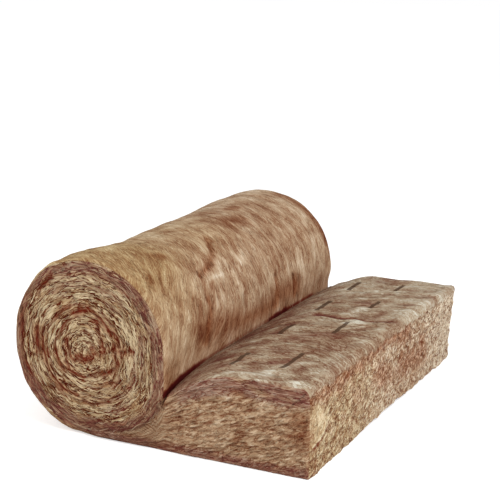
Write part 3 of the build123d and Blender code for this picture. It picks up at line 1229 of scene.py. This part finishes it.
def studio_floor():
    """White sweep: matt paint that the camera sees as white, with the object's soft shadow on it."""
    material = bpy.data.materials.new("white_sweep")
    tree = empty_tree(material)
    path = add_node(tree, "ShaderNodeLightPath")
    seen = path.outputs["Is Camera Ray"]
    for ray in ("Is Glossy Ray", "Is Transmission Ray"):
        seen = add_node(tree, "ShaderNodeMath", {0: seen, 1: path.outputs[ray]}, operation="MAXIMUM")
    glow = add_node(tree, "ShaderNodeMath", {0: seen, 1: FLOOR_GLOW}, operation="MULTIPLY")
    paint = add_node(tree, "ShaderNodeBsdfDiffuse", {"Color": linear("#f4f4f4")})
    white = add_node(tree, "ShaderNodeEmission", {"Color": linear("#ffffff"), "Strength": glow})
    both = add_node(tree, "ShaderNodeAddShader", {0: paint, 1: white})
    add_node(tree, "ShaderNodeOutputMaterial", {"Surface": both})
    return material


# Steps of the add-on


def blanket_of(context):
    """The blanket's sizes in millimetres, as set in the panel."""
    sizes = context.scene.wool_sizes
    return Blanket(*(getattr(sizes, field) / MM for field in Blanket._fields))


def wool_of(context):
    """The wool's material, made on first use."""
    return bpy.data.materials.get("glass_wool") or glass_wool(context.scene.wool_colours)


def masks_of(context):
    """The masks of the skin, by name."""
    return blanket_surface(blanket_of(context)).masks


def settle(piece):
    """Lets a piece ride with the roll."""
    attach(piece, BODY)


def lay_group(context, weight, group):
    """Lays a group of fibres where the weight says, and ends the step."""
    settle(lay_fibres(blanket_surface(blanket_of(context)), weight, group, wool_of(context)))
    return {"FINISHED"}


class WOOL_OT_skin(bpy.types.Operator):
    """Builds the blanket's skin in place of the plain solid"""

    bl_idname = "object.wool_skin"
    bl_label = "Wool Skin"

    def execute(self, context):
        piece = wool_skin(blanket_of(context), wool_of(context))
        settle(piece)
        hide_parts(NODE)
        return {"FINISHED"}


class WOOL_OT_side_fibres(bpy.types.Operator):
    """Combs long fibres round the roll's side"""

    bl_idname = "object.wool_side_fibres"
    bl_label = "Side Fibres"

    def execute(self, context):
        masks = masks_of(context)
        group = Fibres("combed_side_fibres", 101, 6000, (30, 90), (0.8, 2.0), 0.25, (-1.0, 2.0))
        return lay_group(context, masks["roll"] * (1 - masks["crevice"]), group)


class WOOL_OT_end_fibres(bpy.types.Operator):
    """Lays wound fibres on both ends of the roll"""

    bl_idname = "object.wool_end_fibres"
    bl_label = "End Fibres"

    def execute(self, context):
        masks = masks_of(context)
        group = Fibres("wound_end_fibres", 102, 5000, (24, 80), (1.2, 3.4), 0.16, (-1.0, 3.0))
        return lay_group(context, masks["ends"] * (1 - masks["flank"]) * (1 - 0.8 * masks["crevice"]), group)


class WOOL_OT_flank_tufts(bpy.types.Operator):
    """Lays short slanted tufts on the flat end's two sides"""

    bl_idname = "object.wool_flank_tufts"
    bl_label = "Flank Tufts"

    def execute(self, context):
        masks = masks_of(context)
        group = Fibres("flank_tufts", 105, 4000, (12, 36), (1.4, 3.6), 0.28, (-1.0, 4.0))
        return lay_group(context, masks["flank"] * (1 - 0.6 * masks["crevice"]), group)


class WOOL_OT_top_fibres(bpy.types.Operator):
    """Lays drawn-out fibres on the flat end's top"""

    bl_idname = "object.wool_top_fibres"
    bl_label = "Top Fibres"

    def execute(self, context):
        masks = masks_of(context)
        group = Fibres("flat_top_fibres", 103, 1500, (25, 80), (0.8, 2.0), 0.25, (-1.0, 1.5))
        return lay_group(context, np.minimum(1, 2 * masks["top"]) * (1 - masks["crevice"]), group)


class WOOL_OT_cut_tufts(bpy.types.Operator):
    """Strews short curled tufts over the cut"""

    bl_idname = "object.wool_cut_tufts"
    bl_label = "Cut Tufts"

    def execute(self, context):
        masks = masks_of(context)
        group = Fibres("cut_end_tufts", 104, 3500, (9, 24), (1.2, 3.0), 0.8, (-0.5, 4.0))
        return lay_group(context, np.minimum(1, 2 * masks["cut"]), group)


# Camera: where it stands, in metres, which way it looks, in degrees, and its lens and frame in millimetres
CAMERA_PLACE = (1.9046, -3.7305, 1.5180)
CAMERA_AZIMUTH = 26.92
CAMERA_ELEVATION = 13.97
CAMERA_LENS = 95.05
CAMERA_FRAME = 36.0

# Lamps: name, place and size in metres and power in watts, with the place that they look at
LAMPS = (
    ("key_softbox", (3.3, -1.3, 2.9), 2.4, 110.0),
    ("fill_softbox", (-2.4, -3.2, 2.2), 2.4, 52.0),
)
LAMP_TARGET = Vector((0, 0, 0.2))

# How far the floor reaches each way, in metres
FLOOR_REACH = 20.0

# Strength of the world's light on the wool, and as the camera sees it
SKY_LIGHT = 0.62
SKY_SEEN = 1.0


def hang(scene, data, place, way):
    """Puts a lamp or camera at a place, looking along a way, and gives back its object."""
    holder = bpy.data.objects.new(data.name, data)
    holder.location = place
    holder.rotation_mode = "QUATERNION"
    holder.rotation_quaternion = way.to_track_quat("-Z", "Y")
    scene.collection.objects.link(holder)
    return holder


class WOOL_OT_stage(bpy.types.Operator):
    """Sets up the white sweep, the soft light and the camera"""

    bl_idname = "object.wool_stage"
    bl_label = "Stage"

    def execute(self, context):
        scene = context.scene
        corners = np.array([(-1, -1, 0), (1, -1, 0), (1, 1, 0), (-1, 1, 0)]) * FLOOR_REACH / MM
        floor = new_piece("floor", corners, np.arange(4), np.array([4]), {}, studio_floor())

        scene.world = bpy.data.worlds.new("soft_studio")
        tree = empty_tree(scene.world)
        path = add_node(tree, "ShaderNodeLightPath")
        span = {"Value": path.outputs["Is Camera Ray"], "To Min": SKY_LIGHT, "To Max": SKY_SEEN}
        strength = add_node(tree, "ShaderNodeMapRange", span)
        sky = add_node(tree, "ShaderNodeBackground", {"Color": linear("#ffffff"), "Strength": strength})
        add_node(tree, "ShaderNodeOutputWorld", {"Surface": sky})

        for name, place, wide, power in LAMPS:
            lamp = bpy.data.lights.new(name, "AREA")
            lamp.size = wide
            lamp.energy = power
            hang(scene, lamp, place, LAMP_TARGET - Vector(place))

        azimuth, elevation = math.radians(CAMERA_AZIMUTH), math.radians(CAMERA_ELEVATION)
        ahead = math.cos(elevation)
        look = Vector((-math.sin(azimuth) * ahead, math.cos(azimuth) * ahead, -math.sin(elevation)))
        lens = bpy.data.cameras.new("camera")
        lens.sensor_width = CAMERA_FRAME
        lens.lens = CAMERA_LENS
        scene.camera = hang(scene, lens, CAMERA_PLACE, look)
        scene.view_settings.view_transform = "Standard"
        return {"FINISHED"}


OPERATORS = (
    WOOL_OT_skin,
    WOOL_OT_side_fibres,
    WOOL_OT_end_fibres,
    WOOL_OT_flank_tufts,
    WOOL_OT_top_fibres,
    WOOL_OT_cut_tufts,
    WOOL_OT_stage,
)


class WOOL_PT_panel(bpy.types.Panel):
    """Lists the steps and the sizes of the wool roll"""

    bl_idname = "WOOL_PT_panel"
    bl_label = "Wool Roll"
    bl_space_type = "VIEW_3D"
    bl_region_type = "UI"
    bl_category = "Wool Roll"

    def draw(self, context):
        for group in (context.scene.wool_sizes, context.scene.wool_colours):
            for name in group.__annotations__:
                self.layout.prop(group, name)
        for operator in OPERATORS:
            self.layout.operator(operator.bl_idname)


CLASSES = (WoolSizes, WoolColours, *OPERATORS, WOOL_PT_panel)


def register():
    """Registers the classes and hangs the property groups on the scene."""
    for kind in CLASSES:
        bpy.utils.register_class(kind)
    bpy.types.Scene.wool_sizes = bpy.props.PointerProperty(type=WoolSizes)
    bpy.types.Scene.wool_colours = bpy.props.PointerProperty(type=WoolColours)


def unregister():
    """Takes the property groups and the classes away again."""
    del bpy.types.Scene.wool_sizes
    del bpy.types.Scene.wool_colours
    for kind in reversed(CLASSES):
        bpy.utils.unregister_class(kind)


def main():
    """Builds the pieces and the stage in order."""
    register()
    for operator in OPERATORS:
        group, step = operator.bl_idname.split(".")
        getattr(getattr(bpy.ops, group), step)()


if __name__ == "__main__":
    main()
